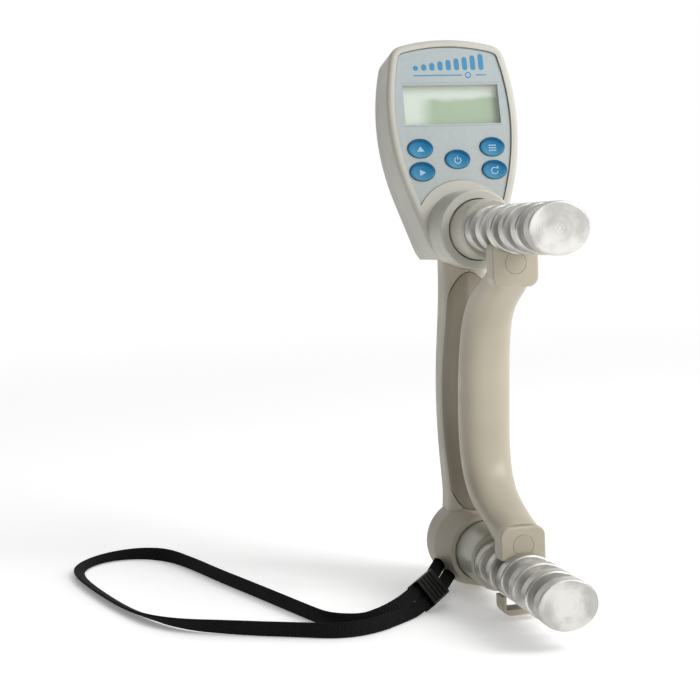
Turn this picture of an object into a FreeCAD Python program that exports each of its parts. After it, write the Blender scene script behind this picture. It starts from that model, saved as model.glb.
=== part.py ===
import FreeCAD, Part
import math
import os

import Sketcher
from FreeCAD import Placement, Rotation, Vector

# Digital hand dynamometer, in millimetres.
# +X is the right of somebody who reads the display, +Y runs from the post tips
# to the back of the head, and +Z is up.  The foot of the lower boss is at Z = 0.

os.makedirs("parts", exist_ok=True)
doc = FreeCAD.newDocument("hand_dynamometer")

# ---------------------------------------------------------------- dimensions

DIMENSIONS = {
    # layout; a distance called front, back, end or full is counted from the post tips
    "tip_y": -71.16,
    "axis_low": 17.7,
    "axis_gap": 133.7,
    # grooved posts
    "post_half_width": 11.6,
    "post_half_height": 9.525,
    "post_core": 6.2,
    "ridge_width": 5.27,
    "ridge_pitch": 12.7,
    "ridge_count": 6,
    "ridge_round": 0.7,
    "shank_radius": 9.0,
    "shank_end": 111.0,
    "post_thread": 2.5,
    "post_screw_depth": 14.0,
    "post_screw_head": 4.2,
    # bushes round the shanks
    "bush_front": 69.6,
    "bush_edge": 0.8,
    "upper_bush_radius": 12.2,
    "upper_bush_end": 99.0,
    "lower_bush_radius": 12.5,
    "lower_bush_end": 104.5,
    # collar of the head and boss of the grip
    "collar_front": 84.7,
    "collar_radius": 16.2,
    "collar_bore": 12.7,
    "collar_back": 104.0,
    "boss_front": 89.0,
    "boss_rim": 14.9,
    "boss_bore": 12.95,
    "boss_bore_end": 106.0,
    "boss_full": 103.0,
    "boss_radius": 17.7,
    "boss_round": 116.0,
    "boss_back": 125.0,
    "boss_back_radius": 9.0,
    # head outline, up the face from the upper post axis
    "head_top": 82.7,
    "head_shoulder_x": 20.5,
    "head_shoulder": 80.0,
    "head_corner_x": 23.5,
    "head_corner": 78.3,
    "head_side_x": 25.3,
    "head_side": 75.3,
    "head_half_width": 28.7,
    "head_widest": 48.0,
    "head_waist_x": 23.6,
    "head_waist": 17.0,
    "head_foot_x": 17.2,
    "head_foot": -3.0,
    "head_bottom": -15.4,
    # head depths, measured back from the face
    "face_y": 102.4,
    "face_tilt": 12.15,
    "head_depth": 24.0,
    "parting_depth": 13.0,
    "foot_drop": 12.1,
    "bezel_lift": 0.8,
    "bezel_round": 2.0,
    "back_round": 5.0,
    "wall": 2.2,
    "floor_depth": 3.0,
    "plate_inset": 3.3,
    "plate_gap": 0.3,
    "plate_thick": 0.8,
    "plate_arc": 21.1,
    # display
    "lcd_width": 42.2,
    "lcd_height": 17.0,
    "lcd_centre": 54.2,
    "lcd_gap": 0.1,
    "window_top": 0.6,
    "window_thick": 1.2,
    "cell_top": 3.1,
    "cell_thick": 2.3,
    "cell_margin": 2.0,
    # keys
    "key_half_width": 5.55,
    "key_half_height": 4.1,
    "key_gap": 0.15,
    "key_lift": 0.7,
    "key_flange": 0.75,
    "key_flange_top": 3.1,
    "key_flange_thick": 0.8,
    "key_dish": 18.0,
    "key_dish_depth": 0.5,
    "key_side": 15.9,
    "key_top_row": 35.3,
    "key_low_row": 25.4,
    "key_middle": 30.3,
    "mat_top": 4.7,
    "mat_thick": 0.9,
    # board
    "board_top": 5.8,
    "board_thick": 1.6,
    "board_half_width": 17.2,
    "board_low": 17.5,
    "board_high": 74.5,
    # battery bay
    "door_width": 26.0,
    "door_low": 22.0,
    "door_length": 50.0,
    "door_thick": 1.6,
    "door_gap": 0.15,
    "hinge_radius": 0.5,
    "tray_wall": 1.4,
    "tray_front": 9.8,
    "battery_radius": 5.2,
    "battery_length": 43.6,
    "battery_side": 6.3,
    "battery_depth": 16.6,
    "battery_low": 25.2,
    "contact_thick": 0.5,
    # handle
    "handle_front": 43.5,
    "handle_back": 50.65,
    "handle_half_width": 9.2,
    "handle_top": 129.7,
    "handle_seat_low": 111.7,
    "handle_hook_high": 19.5,
    "handle_hook_low": -15.1,
    "hook_play": 0.8,
    "hook_wall": 1.6,
    "hook_band": 2.5,
    "hook_lip": -7.3,
    "running_gap": 0.1,
    "plate_round": 4.0,
    "plate_edge": 0.8,
    "cap_radius": 4.15,
    "cap_depth": 1.2,
    "cap_gap": 0.12,
    "upper_cap_z": 120.9,
    "lower_cap_z": 12.2,
    # grip
    "seam_gap": 0.3,
    "cavity_half_width": 6.2,
    "cavity_front": 110.6,
    "cavity_back": 117.6,
    "pocket_radius": 4.6,
    "pocket_back": 121.0,
    "insert_gap": 0.25,
    "insert_proud": 0.5,
    "grip_screw": 1.3,
    "grip_screw_head": 2.5,
    "screw_seat": 7.4,
    "screw_reach": 8.0,
    "beam_front": 111.0,
    "beam_thick": 5.5,
    "beam_half_width": 5.6,
    "beam_over": 9.0,
    "gauge_thick": 0.3,
    # wrist strap
    "strap_width": 5.2,
    "slider_length": 14.0,
    "slider_width": 12.2,
    "slider_height": 6.4,
    "slider_wall": 0.45,
    "slider_round": 1.0,
}

dims = doc.addObject("Spreadsheet::Sheet", "dims")
for row, (alias, value) in enumerate(DIMENSIONS.items(), start=1):
    dims.set(f"A{row}", alias)
    dims.set(f"B{row}", str(value))
    dims.setAlias(f"B{row}", alias)
doc.recompute()


def size(text):
    """The number that a sheet expression stands for."""
    return float(dims.evalExpression(text.replace("dims.", "")))


TIP = size("tip_y")
LOW = size("axis_low")
HIGH = LOW + size("axis_gap")
TILT = math.radians(size("face_tilt"))
UPPER_AXIS = "dims.axis_low + dims.axis_gap"
LOWER_AXIS = "dims.axis_low"
ALONG_Y = Vector(0, 1, 0)
ALONG_X = Vector(1, 0, 0)
ALONG_Z = Vector(0, 0, 1)


def from_tip(text):
    """The Y of something whose distance from the post tips is given."""
    return "dims.tip_y + " + text


# ------------------------------------------------------------------- helpers


def bind(obj, **expressions):
    """Ties properties of an object to sheet expressions."""
    for name, text in expressions.items():
        obj.setExpression(name, text)
    return obj


def place(obj, x, y, z):
    """Ties an object's position to three sheet expressions."""
    obj.setExpression(".Placement.Base.x", x)
    obj.setExpression(".Placement.Base.y", y)
    obj.setExpression(".Placement.Base.z", z)
    return obj


def box(name, length, width, height, x, y, z):
    """A box from its lowest corner and its three sizes."""
    obj = doc.addObject("Part::Box", name)
    bind(obj, Length=length, Width=width, Height=height)
    return place(obj, x, y, z)


def cylinder(name, radius, height, x, y, z, direction):
    """A cylinder that starts at a point and runs along a direction."""
    obj = doc.addObject("Part::Cylinder", name)
    obj.Placement = Placement(Vector(), Rotation(ALONG_Z, direction))
    bind(obj, Radius=radius, Height=height)
    return place(obj, x, y, z)


def oval_bar(name, half_width, half_height, length, x, y, z, direction):
    """An elliptical bar, wide along X, that starts at a point."""
    flat = doc.addObject("Part::Ellipse", name + "_outline")
    flat.Placement = Placement(Vector(), Rotation(ALONG_Z, direction))
    bind(flat, MajorRadius=half_width, MinorRadius=half_height)
    place(flat, x, y, z)
    bar = doc.addObject("Part::Extrusion", name)
    bar.Base = flat
    bar.DirMode = "Custom"
    bar.Dir = direction
    bar.Solid = True
    return bind(bar, LengthFwd=length)


def plain(name, shape):
    """A document object for a shape that is worked out in this script."""
    obj = doc.addObject("Part::Feature", name)
    obj.Shape = shape
    return obj


def slab(name, wire, low, high):
    """A plate of the head between two depths, from an outline in its plane."""
    outline = plain(name + "_outline", wire)
    bar = doc.addObject("Part::Extrusion", name)
    bar.Base = outline
    bar.DirMode = "Custom"
    bar.Dir = ALONG_Z
    bar.Solid = True
    return bind(bar, LengthFwd=high, LengthRev=f"-({low})")


def cut(base, *tools):
    """Takes the tools away from the base, one boolean for each."""
    for tool in tools:
        obj = doc.addObject("Part::Cut", base.Name + "_cut")
        obj.Base = base
        obj.Tool = tool
        base = obj
    return base


def fuse(*shapes):
    """Joins shapes that overlap into one solid."""
    obj = doc.addObject("Part::MultiFuse", shapes[0].Name + "_fuse")
    obj.Shapes = list(shapes)
    obj.Refine = True
    return obj


def common(first, second):
    """Keeps what two shapes share."""
    obj = doc.addObject("Part::Common", first.Name + "_common")
    obj.Base = first
    obj.Tool = second
    return obj


def group(*shapes):
    """Keeps separate solids together in one node."""
    obj = doc.addObject("Part::Compound", shapes[0].Name + "_group")
    obj.Links = list(shapes)
    return obj


def rounded(base, radius, pick):
    """Fillets the edges of the base for which pick(edge) is true."""
    doc.recompute()
    edges = [n for n, edge in enumerate(base.Shape.Edges, start=1) if pick(edge)]
    obj = doc.addObject("Part::Fillet", base.Name + "_round")
    obj.Base = base
    obj.Edges = [(n, size(radius), size(radius)) for n in edges]
    return obj


def turned(name, points, x, y, z):
    """A PartDesign body turned about the Y axis from (radius, y) corners."""
    body = doc.addObject("PartDesign::Body", name)
    flat = polygon(body, "XY_Plane", points, name + "_sketch")
    turn = body.newObject("PartDesign::Revolution", name + "_turn")
    turn.Profile = flat
    turn.ReferenceAxis = (flat, ["V_Axis"])
    turn.Angle = 360.0
    body.Tip = turn
    return place(body, x, y, z)


def polygon(body, plane, points, name):
    """A closed sketch whose corners are tied to sheet expressions."""
    flat = body.newObject("Sketcher::SketchObject", name)
    origin = [f for f in body.Origin.OriginFeatures if f.Role == plane][0]
    flat.AttachmentSupport = [(origin, "")]
    flat.MapMode = "FlatFace"
    corners = [Vector(size(x), size(y), 0) for x, y in points]
    count = len(points)
    for here, there in zip(corners, corners[1:] + corners[:1]):
        flat.addGeometry(Part.LineSegment(here, there), False)
    for n in range(count):
        flat.addConstraint(Sketcher.Constraint("Coincident", n, 2, (n + 1) % count, 1))
    for n, (corner, texts) in enumerate(zip(corners, points)):
        for kind, value, text in zip(("DistanceX", "DistanceY"), corner, texts):
            index = flat.addConstraint(Sketcher.Constraint(kind, n, 1, value))
            flat.setExpression(f"Constraints[{index}]", text)
    return flat


NODES = {}


def keep(label, obj):
    """Names a finished sub-part."""
    obj.Label = label
    NODES[label] = obj
    return obj


def keep_in_head(label, shape):
    """Names a sub-part made in the head's frame, and tilts it into place."""
    obj = group(shape)
    obj.Placement = Placement(Vector(), Rotation(ALONG_X, 90))
    obj.setExpression(".Placement.Rotation.Angle", "90 - dims.face_tilt")
    place(obj, "0", from_tip("dims.face_y"), UPPER_AXIS)
    return keep(label, obj)


# --------------------------------------------------------------------- posts


def post(label, axis):
    """An oval bar with six ridges, a round core between them and a shank."""
    first_ridge = from_tip("dims.ridge_width / 2")
    core = cylinder(label + "_core", "dims.post_core",
                    "(dims.ridge_count - 1) * dims.ridge_pitch", "0", first_ridge, axis, ALONG_Y)
    shank_start = "((dims.ridge_count - 1) * dims.ridge_pitch + dims.ridge_width / 2)"
    shank = cylinder(label + "_shank", "dims.shank_radius", "dims.shank_end - " + shank_start,
                     "0", from_tip(shank_start), axis, ALONG_Y)
    ridges = []
    for number in range(int(size("ridge_count"))):
        bar = oval_bar(f"{label}_ridge{number}", "dims.post_half_width",
                       "dims.post_half_height", "dims.ridge_width", "0",
                       from_tip(f"{number} * dims.ridge_pitch"), axis, ALONG_Y)
        ridges.append(rounded(bar, "ridge_round", lambda edge: not isinstance(edge.Curve, Part.Line)))
    thread = cylinder(label + "_thread", "dims.post_thread", "dims.post_screw_depth", "0",
                      from_tip("dims.shank_end - dims.post_screw_depth"), axis, ALONG_Y)
    keep(label, cut(fuse(core, shank, *ridges), thread))


def post_screw(label, axis):
    """The socket screw that ties a post to the load beam from behind."""
    beam_back = "dims.beam_front + dims.beam_thick"
    shank = cylinder(label + "_shank", "dims.post_thread - 0.05",
                     "dims.post_screw_depth - 1 + dims.beam_thick", "0",
                     from_tip("dims.shank_end - dims.post_screw_depth + 1"), axis, ALONG_Y)
    head = cylinder(label + "_head", "dims.post_screw_head", "3.6", "0",
                    from_tip(beam_back), axis, ALONG_Y)
    socket = doc.addObject("Part::Prism", label + "_socket")
    socket.Polygon = 6
    socket.Circumradius = 2.3
    socket.Height = 3.0
    socket.Placement = Placement(Vector(), Rotation(ALONG_Z, ALONG_Y))
    place(socket, "0", from_tip(beam_back + " + 1.2"), axis)
    keep(label, cut(fuse(shank, head), socket))


def bush(label, radius, end, axis):
    """A plastic sleeve pressed on a post's shank."""
    sleeve = turned(label, [
        ("dims.shank_radius", "0"),
        (f"dims.{radius} - dims.bush_edge", "0"),
        (f"dims.{radius}", "dims.bush_edge"),
        (f"dims.{radius}", f"dims.{end} - dims.bush_front"),
        ("dims.shank_radius", f"dims.{end} - dims.bush_front"),
    ], "0", from_tip("dims.bush_front"), axis)
    keep(label, sleeve)


post("upper_post", UPPER_AXIS)
post("lower_post", LOWER_AXIS)
post_screw("upper_post_screw", UPPER_AXIS)
post_screw("lower_post_screw", LOWER_AXIS)
bush("upper_bush", "upper_bush_radius", "upper_bush_end", UPPER_AXIS)
bush("lower_bush", "lower_bush_radius", "lower_bush_end", LOWER_AXIS)

# ---------------------------------------------------------- grip and its parts

# Height above the lower axis, half width, front corner, crown, back of the flank, back.
GRIP_STATIONS = [
    (4.0, 9.6, 103.0, 100.0, 111.0, 124.0),
    (18.0, 9.7, 102.2, 99.2, 110.0, 123.6),
    (28.0, 9.9, 103.0, 100.0, 110.0, 124.0),
    (38.0, 10.2, 105.5, 102.3, 112.0, 124.8),
    (50.0, 10.3, 108.0, 104.6, 114.0, 125.4),
    (64.0, 10.3, 108.6, 105.2, 114.4, 125.6),
    (78.0, 10.2, 106.6, 103.2, 112.5, 125.0),
    (92.0, 9.8, 103.0, 99.6, 109.5, 123.8),
    (105.0, 9.3, 100.6, 97.8, 107.5, 122.8),
    (121.5, 9.0, 100.6, 98.2, 107.5, 122.4),
]


def grip_section(station, proud):
    """One closed section of the grip, a crowned front on a rounded back."""
    height, half, corner, crown, flank, back = station
    half += proud / 2
    crown -= proud
    front = corner - crown
    rear = back - flank
    right = [
        (0.50 * half, crown + 0.14 * front),
        (0.84 * half, crown + 0.50 * front),
        (half, corner + 1.0),
        (half, flank),
        (0.92 * half, flank + 0.50 * rear),
        (0.62 * half, back - 0.12 * rear),
    ]
    points = [(0, crown)] + right + [(0, back)] + [(-x, y) for x, y in reversed(right)]
    curve = Part.BSplineCurve()
    curve.interpolate([Vector(x, TIP + y, LOW + height) for x, y in points], PeriodicFlag=True)
    return Part.Wire([curve.toShape()])


def grip_loft(name, proud):
    """The whole grip as one solid through its stations."""
    sections = [grip_section(station, proud) for station in GRIP_STATIONS]
    return plain(name, Part.makeLoft(sections, True, False))


def insert_outline(grow):
    """The long lens shape of the front insert, seen from the front."""
    half = [(0, 15.5 - grow), (7.6 + grow, 20.0 - grow), (10.4 + grow, 31.0), (12.0, 64.0),
            (10.3 + grow, 97.0), (6.4 + grow, 111.3 + grow), (0, 116.0 + grow)]
    points = half + [(-x, z) for x, z in reversed(half[1:-1])]
    curve = Part.BSplineCurve()
    curve.interpolate([Vector(x, TIP + 80, LOW + z) for x, z in points], PeriodicFlag=True)
    face = Part.Face(Part.Wire([curve.toShape()]))
    return face.extrude(Vector(0, 40, 0))


def insert_depth(back):
    """Everything in front of the grip's front corners."""
    edge = [Vector(-20, TIP + corner + back, LOW + height)
            for height, _, corner, _, _, _ in GRIP_STATIONS]
    curve = Part.BSplineCurve()
    curve.interpolate(edge)
    low = Vector(-20, TIP + 80, LOW + GRIP_STATIONS[0][0])
    high = Vector(-20, TIP + 80, LOW + GRIP_STATIONS[-1][0])
    wire = Part.Wire([curve.toShape(), Part.makeLine(edge[-1], high),
                      Part.makeLine(high, low), Part.makeLine(low, edge[0])])
    return Part.Face(wire).extrude(Vector(40, 0, 0))


boss = turned("lower_boss", [
    ("0", "0"),
    ("dims.boss_rim", "0"),
    ("dims.boss_radius", "dims.boss_full - dims.boss_front"),
    ("dims.boss_radius", "dims.boss_round - dims.boss_front"),
    ("dims.boss_back_radius", "dims.boss_back - dims.boss_front"),
    ("0", "dims.boss_back - dims.boss_front"),
], "0", from_tip("dims.boss_front"), LOWER_AXIS)


def boss_ridge(edge):
    """The circles of the boss behind its rim."""
    is_circle = isinstance(edge.Curve, Part.Circle)
    return is_circle and edge.BoundBox.YMin > TIP + size("boss_front") + 1


boss_rounded = rounded(boss, "boss_back_radius - 1", boss_ridge)
grip_body = fuse(boss_rounded, grip_loft("grip_loft", 0.0))

insert_recess = common(plain("recess_outline", insert_outline(size("insert_gap"))),
                       plain("recess_depth", insert_depth(0.3)))
boss_bore = cylinder("boss_bore", "dims.boss_bore", "dims.boss_bore_end - dims.boss_front",
                     "0", from_tip("dims.boss_front"), LOWER_AXIS, ALONG_Y)
shank_bore = cylinder("shank_bore", "dims.shank_radius + 0.3",
                      "dims.beam_front - dims.boss_front", "0",
                      from_tip("dims.boss_front"), LOWER_AXIS, ALONG_Y)
grip_cavity = box("grip_cavity", "2 * dims.cavity_half_width",
                  "dims.cavity_back - dims.cavity_front", "dims.axis_gap + 2 * dims.beam_over",
                  "-dims.cavity_half_width", from_tip("dims.cavity_front"),
                  "dims.axis_low - dims.beam_over - 1")
screw_pocket = cylinder("screw_pocket", "dims.pocket_radius",
                        "dims.pocket_back - dims.cavity_back + 1", "0",
                        from_tip("dims.cavity_back - 1"), LOWER_AXIS, ALONG_Y)
collar_room = cylinder("collar_room", "dims.collar_radius + 0.1",
                       "dims.collar_back - dims.collar_front + 0.1", "0",
                       from_tip("dims.collar_front"), UPPER_AXIS, ALONG_Y)
# Route of the strap: across, distance from the post tips, height above the lower axis.
STRAP_ROUTE = [
    (-10.7, 115.0, -7.8),
    (-24.3, 83.5, -6.9),
    (-37.5, 68.7, -9.3),
    (-46.5, 60.8, -11.4),
    (-56.5, 56.5, -13.7),
    (-66.3, 57.6, -14.9),
    (-74.1, 64.2, -14.9),
    (-78.3, 75.5, -14.9),
    (-87.0, 101.0, -14.9),
    (-95.0, 124.0, -14.9),
    (-103.6, 148.0, -14.9),
    (-111.5, 173.0, -14.9),
    (-120.3, 194.8, -14.9),
    (-133.5, 206.5, -14.9),
    (-149.0, 207.5, -14.9),
    (-160.5, 197.5, -14.9),
    (-164.3, 180.0, -14.9),
    (-156.3, 144.0, -14.9),
    (-145.0, 107.0, -14.9),
    (-130.5, 79.5, -14.9),
    (-108.5, 65.3, -14.9),
    (-88.0, 54.8, -14.9),
    (-71.5, 46.8, -14.9),
    (-57.5, 49.5, -14.9),
    (-45.5, 59.0, -14.9),
    (-34.3, 66.9, -13.7),
    (-21.1, 81.7, -11.3),
    (-6.5, 112.5, -11.7),
]


def in_row(point):
    """A route point in the model's frame."""
    across, back, height = point
    return Vector(across, TIP + back, LOW + height)


def strap_path(first, second):
    """A round passage round one straight end of the strap."""
    start = in_row(first)
    way = (in_row(second) - start).normalize()
    return Part.makeCylinder(size("strap_width") / 2 + 0.3, 34, start - way, way)


strap_passages = [plain("strap_passage0", strap_path(STRAP_ROUTE[0], STRAP_ROUTE[1])),
                  plain("strap_passage1", strap_path(STRAP_ROUTE[-1], STRAP_ROUTE[-2]))]
grip_hollow = cut(grip_body, insert_recess, boss_bore, shank_bore, grip_cavity,
                  screw_pocket, collar_room)

SCREW_HEIGHTS = (24.0, 104.0)
SCREW_Y = "dims.cavity_front - 4.0"


def grip_screw_parts(name, play, head_length):
    """Two screws across the grip, or the holes that they sit in."""
    parts = []
    for number, height in enumerate(SCREW_HEIGHTS):
        z = f"dims.axis_low + {height}"
        y = from_tip(SCREW_Y)
        stem = cylinder(f"{name}_stem{number}", f"dims.grip_screw + {play}",
                        f"dims.screw_seat + dims.screw_reach + {play} + 0.2",
                        f"-dims.screw_reach - {play}", y, z, ALONG_X)
        top = cylinder(f"{name}_head{number}", f"dims.grip_screw_head + {play}",
                       head_length, "dims.screw_seat", y, z, ALONG_X)
        parts.append(fuse(stem, top))
    return parts


grip_drilled = cut(grip_hollow, *grip_screw_parts("drill", 0.1, "6"))


def grip_half(label, side):
    """The half of the grip on one side of the seam."""
    start = "dims.seam_gap / 2" if side > 0 else "-dims.seam_gap / 2 - 40"
    half = box(label + "_side", "40", "80", "200", start, from_tip("70"), "-20")
    return common(grip_drilled, half)


def strap_anchor(name, radius):
    """The pin that passes through both ends of the strap, or its hole."""
    places = []
    for first, second in ((STRAP_ROUTE[-1], STRAP_ROUTE[-2]), (STRAP_ROUTE[0], STRAP_ROUTE[1])):
        end = in_row(first)
        places.append(end + (in_row(second) - end).normalize() * 2.5)
    low, high = places
    way = (high - low).normalize()
    return plain(name, Part.makeCylinder(radius, 14.5, low - way * 4, way))


left_shell = cut(grip_half("grip_left_shell", -1), *strap_passages,
                 strap_anchor("pin_hole", 1.02))
keep("grip_left_shell", left_shell)
keep("grip_right_shell", grip_half("grip_right_shell", 1))
keep("grip_screws", group(*grip_screw_parts("grip_screw", 0, "1.3")))

insert_block = common(plain("insert_block", insert_outline(0.0)),
                      plain("insert_depth", insert_depth(0.2)))
keep("grip_front_insert", common(grip_loft("insert_loft", size("insert_proud")), insert_block))

beam = box("beam_bar", "2 * dims.beam_half_width", "dims.beam_thick",
           "dims.axis_gap + 2 * dims.beam_over", "-dims.beam_half_width",
           from_tip("dims.beam_front"), "dims.axis_low - dims.beam_over")
beam_holes = [cylinder(f"beam_hole{n}", "dims.post_thread + 0.1", "dims.beam_thick", "0",
                       from_tip("dims.beam_front"), axis, ALONG_Y)
              for n, axis in enumerate((LOWER_AXIS, UPPER_AXIS))]
beam_eyes = [cylinder(f"beam_eye{n}", "1.7", "2 * dims.beam_half_width",
                      "-dims.beam_half_width", from_tip("dims.beam_front + dims.beam_thick / 2"),
                      f"dims.axis_low + dims.axis_gap / 2 + {shift}", ALONG_X)
             for n, shift in enumerate((-6, 6))]
beam_slit = box("beam_slit", "2 * dims.beam_half_width", "1", "12", "-dims.beam_half_width",
                from_tip("dims.beam_front + dims.beam_thick / 2 - 0.5"),
                "dims.axis_low + dims.axis_gap / 2 - 6")
keep("load_beam", cut(beam, *beam_holes, *beam_eyes, beam_slit))
keep("strain_gauge", box("gauge_pad", "8", "dims.gauge_thick", "14", "-4",
                         from_tip("dims.beam_front + dims.beam_thick"),
                         "dims.axis_low + dims.axis_gap / 2 - 7"))

# ---------------------------------------------------------------------- head


def head_outline(inset):
    """The shield outline of the head, moved in by an inset."""
    def corner(name, side=1):
        return Vector(side * size(f"head_{name}_x"), size(f"head_{name}"), 0)

    top = Vector(0, size("head_top"), 0)
    bottom = Vector(0, size("head_bottom"), 0)
    edges = [Part.Arc(corner("shoulder", -1), top, corner("shoulder")).toShape()]
    edges.append(Part.Arc(corner("foot"), bottom, corner("foot", -1)).toShape())
    for side in (1, -1):
        widest = Vector(side * size("head_half_width"), size("head_widest"), 0)
        edges.append(Part.Arc(corner("shoulder", side), corner("corner", side),
                              corner("side", side)).toShape())
        edges.append(Part.Arc(corner("side", side), widest, corner("waist", side)).toShape())
        edges.append(Part.makeLine(corner("waist", side), corner("foot", side)))
    wire = Part.Wire(Part.__sortEdges__(edges))
    return wire.makeOffset2D(-inset) if inset else wire


def on_face(x, up, depth):
    """Three expressions for a point in the head's frame."""
    return str(x), str(up), str(depth)


KEYS = {
    "key_upper_left": ("-dims.key_side", "dims.key_top_row"),
    "key_lower_left": ("-dims.key_side", "dims.key_low_row"),
    "key_power": ("0", "dims.key_middle"),
    "key_upper_right": ("dims.key_side", "dims.key_top_row"),
    "key_lower_right": ("dims.key_side", "dims.key_low_row"),
}
PILLARS = [(side * x, up) for side in (-1, 1) for x, up in ((20.3, 71.3), (16.9, 12.8))]


def key_holes(name):
    """Oval holes for the five keys."""
    return group(*[oval_bar(f"{name}_{n}", "dims.key_half_width + dims.key_gap",
                            "dims.key_half_height + dims.key_gap", "6", x, up, "-4", ALONG_Z)
                   for n, (x, up) in enumerate(KEYS.values())])


def pillars(name, radius, length, start):
    """Four round pillars or holes at the head's screw places."""
    return [cylinder(f"{name}_{n}", radius, length, *on_face(x, up, start), ALONG_Z)
            for n, (x, up) in enumerate(PILLARS)]


def lcd_box(name, margin, low, high):
    """A rectangle round the display between two depths."""
    return box(name, f"dims.lcd_width + 2 * ({margin})", f"dims.lcd_height + 2 * ({margin})",
               f"({high}) - ({low})", f"-dims.lcd_width / 2 - ({margin})",
               f"dims.lcd_centre - dims.lcd_height / 2 - ({margin})", low)


def collar(name, radius, start, end):
    """A cylinder along the post axis, seen from the head's tilted frame."""
    obj = doc.addObject("Part::Cylinder", name)
    back = Vector(0, math.sin(TILT), -math.cos(TILT))
    obj.Placement = Placement(Vector(), Rotation(ALONG_Z, back))
    bind(obj, Radius=radius, Height=f"({end}) - ({start})")
    shift = f"(dims.face_y - ({start}))"
    return place(obj, "0", f"-sin(dims.face_tilt * 1 deg) * {shift}",
                 f"cos(dims.face_tilt * 1 deg) * {shift}")


def below_foot(name, lift, shape=None):
    """Everything below the flat foot of the head, which stands on the grip's neck."""
    top = HIGH - size("foot_drop") + lift
    room = plain(name, shape or Part.makeBox(80, 80, 40, Vector(-40, 60 + TIP, top - 40)))
    back_turn = Placement(Vector(0, TIP + size("face_y"), HIGH),
                          Rotation(ALONG_X, 90 - size("face_tilt")))
    room.Placement = back_turn.inverse()
    return room


def at_front(edge):
    """The outer edges of the bezel."""
    return edge.BoundBox.ZMin > size("bezel_lift") - 0.01


def at_back(edge):
    """The outer edges of the back."""
    return edge.BoundBox.ZMax < 0.01 - size("head_depth")


front_block = slab("front_block", head_outline(0), "-dims.parting_depth", "dims.bezel_lift")
front_round = rounded(front_block, "bezel_round", at_front)
front_cavity = slab("front_cavity", head_outline(size("wall")),
                    "-dims.parting_depth - 1", "-dims.floor_depth")
plate_recess = slab("plate_recess", head_outline(size("plate_inset")), "-dims.plate_thick", "3")
arc_land = cylinder("arc_land", "dims.plate_arc", "8", *on_face(0, 0, -4), ALONG_Z)
beam_slot = below_foot("beam_slot", 0, Part.makeBox(12.8, 8, 6, Vector(-6.4, 110 + TIP, HIGH - 14)))
front_shell = cut(front_round, cut(front_cavity, below_foot("front_sole", size("wall"))),
                  cut(plate_recess, arc_land),
                  lcd_box("lcd_opening", "dims.lcd_gap", "-5", "2"), key_holes("key_hole"),
                  below_foot("front_foot", 0), beam_slot)
front_whole = fuse(front_shell, collar("collar_tube", "dims.collar_radius",
                                       "dims.collar_front", "dims.collar_back"),
                   *pillars("front_pillar", "2.8", "10.2", "-dims.parting_depth"))
collar_edged = rounded(front_whole, "bush_edge",
                       lambda edge: isinstance(edge.Curve, Part.Circle)
                       and abs(edge.Curve.Radius - size("collar_radius")) < 0.01
                       and edge.BoundBox.ZMin > 5)
front_done = cut(collar_edged, collar("collar_bore", "dims.collar_bore", "70", "120"),
                 *pillars("front_pilot", "1.1", "8", "-dims.parting_depth"))
keep_in_head("head_front_housing", front_done)

back_block = slab("back_block", head_outline(0), "-dims.head_depth", "-dims.parting_depth")
back_round = rounded(back_block, "back_round", at_back)
back_cavity = slab("back_cavity", head_outline(size("wall")),
                   "dims.wall - dims.head_depth", "-dims.parting_depth + 1")
tray = box("tray", "dims.door_width + 2 * dims.tray_wall",
           "dims.door_length + 2 * dims.tray_wall", "dims.head_depth - dims.tray_front - 1",
           "-dims.door_width / 2 - dims.tray_wall", "dims.door_low - dims.tray_wall",
           "1 - dims.head_depth")
bay = box("bay", "dims.door_width", "dims.door_length",
          "dims.head_depth - dims.tray_front - dims.tray_wall + 1", "-dims.door_width / 2",
          "dims.door_low", "-dims.head_depth - 1")
back_hollow = cut(back_cavity, below_foot("back_sole", size("wall")))
back_shell = fuse(cut(back_round, back_hollow, below_foot("back_foot", 0), beam_slot), tray,
                  *pillars("back_pillar", "3.4", "dims.head_depth - dims.parting_depth - 1",
                           "1 - dims.head_depth"))
HINGE_UP = "dims.door_low + dims.door_gap + dims.door_thick / 2"
HINGE_DEPTH = "dims.door_thick / 2 - dims.head_depth"


def hinge_rod(name, radius, reach):
    """A rod on the door's hinge line that passes its sides by a reach."""
    return cylinder(name, radius, f"dims.door_width + 2 * ({reach})",
                    f"-dims.door_width / 2 - ({reach})", HINGE_UP, HINGE_DEPTH, ALONG_X)


keep_in_head("head_rear_housing",
             cut(back_shell, bay, hinge_rod("hinge_hole", "dims.hinge_radius + 0.05", "1.0"),
                 *pillars("back_hole", "1.4", "16", "-dims.head_depth - 1"),
                 *pillars("back_bore", "2.6", "5.3", "-dims.head_depth - 1")))

head_screws = [fuse(cylinder(f"head_screw_stem{n}", "1.05", "14", *on_face(x, up, -20), ALONG_Z),
                    cylinder(f"head_screw_head{n}", "2.4", "2.2", *on_face(x, up, -21.95), ALONG_Z))
               for n, (x, up) in enumerate(PILLARS)]
keep_in_head("head_screws", group(*head_screws))

plate_block = slab("plate_block", head_outline(size("plate_inset + plate_gap")),
                   "-dims.plate_thick", "0")
plate_arc = cylinder("plate_arc", "dims.plate_arc + dims.plate_gap", "8",
                     *on_face(0, 0, -4), ALONG_Z)
keep_in_head("faceplate", cut(plate_block, plate_arc, lcd_box("plate_window", "0", "-4", "2"),
                              key_holes("plate_hole")))
keep_in_head("lcd_window", lcd_box("window_block", "-0.05", "-dims.window_top - dims.window_thick",
                                   "-dims.window_top"))
keep_in_head("lcd_cell", lcd_box("cell_block", "dims.cell_margin",
                                 "-dims.cell_top - dims.cell_thick", "-dims.cell_top"))


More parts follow.
